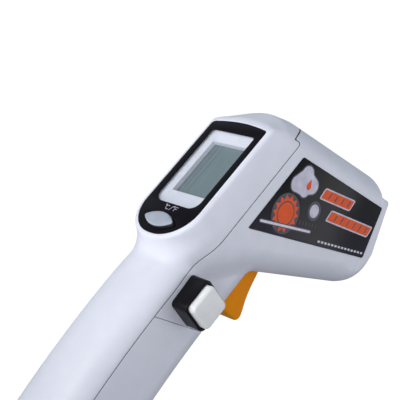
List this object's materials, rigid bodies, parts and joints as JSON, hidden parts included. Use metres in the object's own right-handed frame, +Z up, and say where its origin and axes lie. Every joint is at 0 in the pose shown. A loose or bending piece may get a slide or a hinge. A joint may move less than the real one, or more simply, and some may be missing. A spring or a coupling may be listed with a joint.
{
  "type": "infrared thermometer",
  "caption": "Pistol-grip infrared thermometer with a display facing the user, a trigger, a side switch and a hinged battery door in the grip.",
  "frame": {"origin": "centre of the flat base of the grip", "axes": "+X the way the nose points, +Y the user's left, +Z up"},
  "size_m": [0.1384, 0.0468, 0.1527],
  "materials": {
    "shell": "satin",
    "gloss_black": "gloss",
    "black": "matt",
    "window": "clear",
    "lcd": "satin",
    "silver_plastic": "satin",
    "orange": "satin",
    "white_cap": "satin",
    "steel": "plain",
    "gold": "plain",
    "board": "satin",
    "elastomer": "matt",
    "battery": "satin",
    "lead_red": "satin",
    "lead_black": "satin"
  },
  "bodies": {
    "body": {"rear_housing": "shell", "front_housing": "shell", "door_hinge_pin": "steel", "bezel_panel": "gloss_black", "display_window": "window", "lcd_glass": "lcd", "lcd_frame": "shell", "zebra_strips": "elastomer", "main_pcb": "board", "pcb_components": "black", "pcb_screws": "steel", "housing_screws": "steel", "unit_switch": "black", "trigger_pin": "steel", "trigger_spring": "steel", "trigger_switch": "black", "side_switch_housing": "black", "side_switch_spring": "steel", "side_switch_contacts": "gold", "nose_panel": "black", "sensor_holder": "black", "ir_sensor": "steel", "fresnel_lens": "window", "sensor_board": "board", "laser_module": "gold", "sensor_cable": "elastomer", "battery": "battery", "battery_terminals": "steel", "battery_snap": "lead_black", "battery_lead_red": "lead_red", "battery_lead_black": "lead_black", "label_right": "gloss_black", "label_left": "gloss_black"},
    "trigger": {"trigger": "orange"},
    "unit_button": {"unit_button": "silver_plastic"},
    "side_cap": {"side_switch_cap": "white_cap"},
    "door": {"battery_door": "shell"}
  },
  "joints": [
    {"name": "trigger_pull", "type": "hinge", "parent": "body", "child": "trigger", "pos_m": [0.063, 0, 0.0955], "axis": [0, 1, 0], "range_deg": [0, 10], "stiffness_Nm_per_rad": 0.1, "springref_deg": -5.73, "deforming": ["trigger_spring"]},
    {"name": "unit_button_press", "type": "slide", "parent": "body", "child": "unit_button", "axis": [0.9205, 0, -0.3907], "range_m": [0, 0.0008], "stiffness_N_per_m": 1500, "springref_m": -0.0005},
    {"name": "side_button_press", "type": "slide", "parent": "body", "child": "side_cap", "axis": [0, 1, 0], "range_m": [0, 0.0015], "stiffness_N_per_m": 400, "springref_m": -0.001, "deforming": ["side_switch_spring"]},
    {"name": "battery_door_swing", "type": "hinge", "parent": "body", "child": "door", "pos_m": [-0.0027, 0, 0.0044], "axis": [0, 1, 0], "range_deg": [0, 75]}
  ]
}
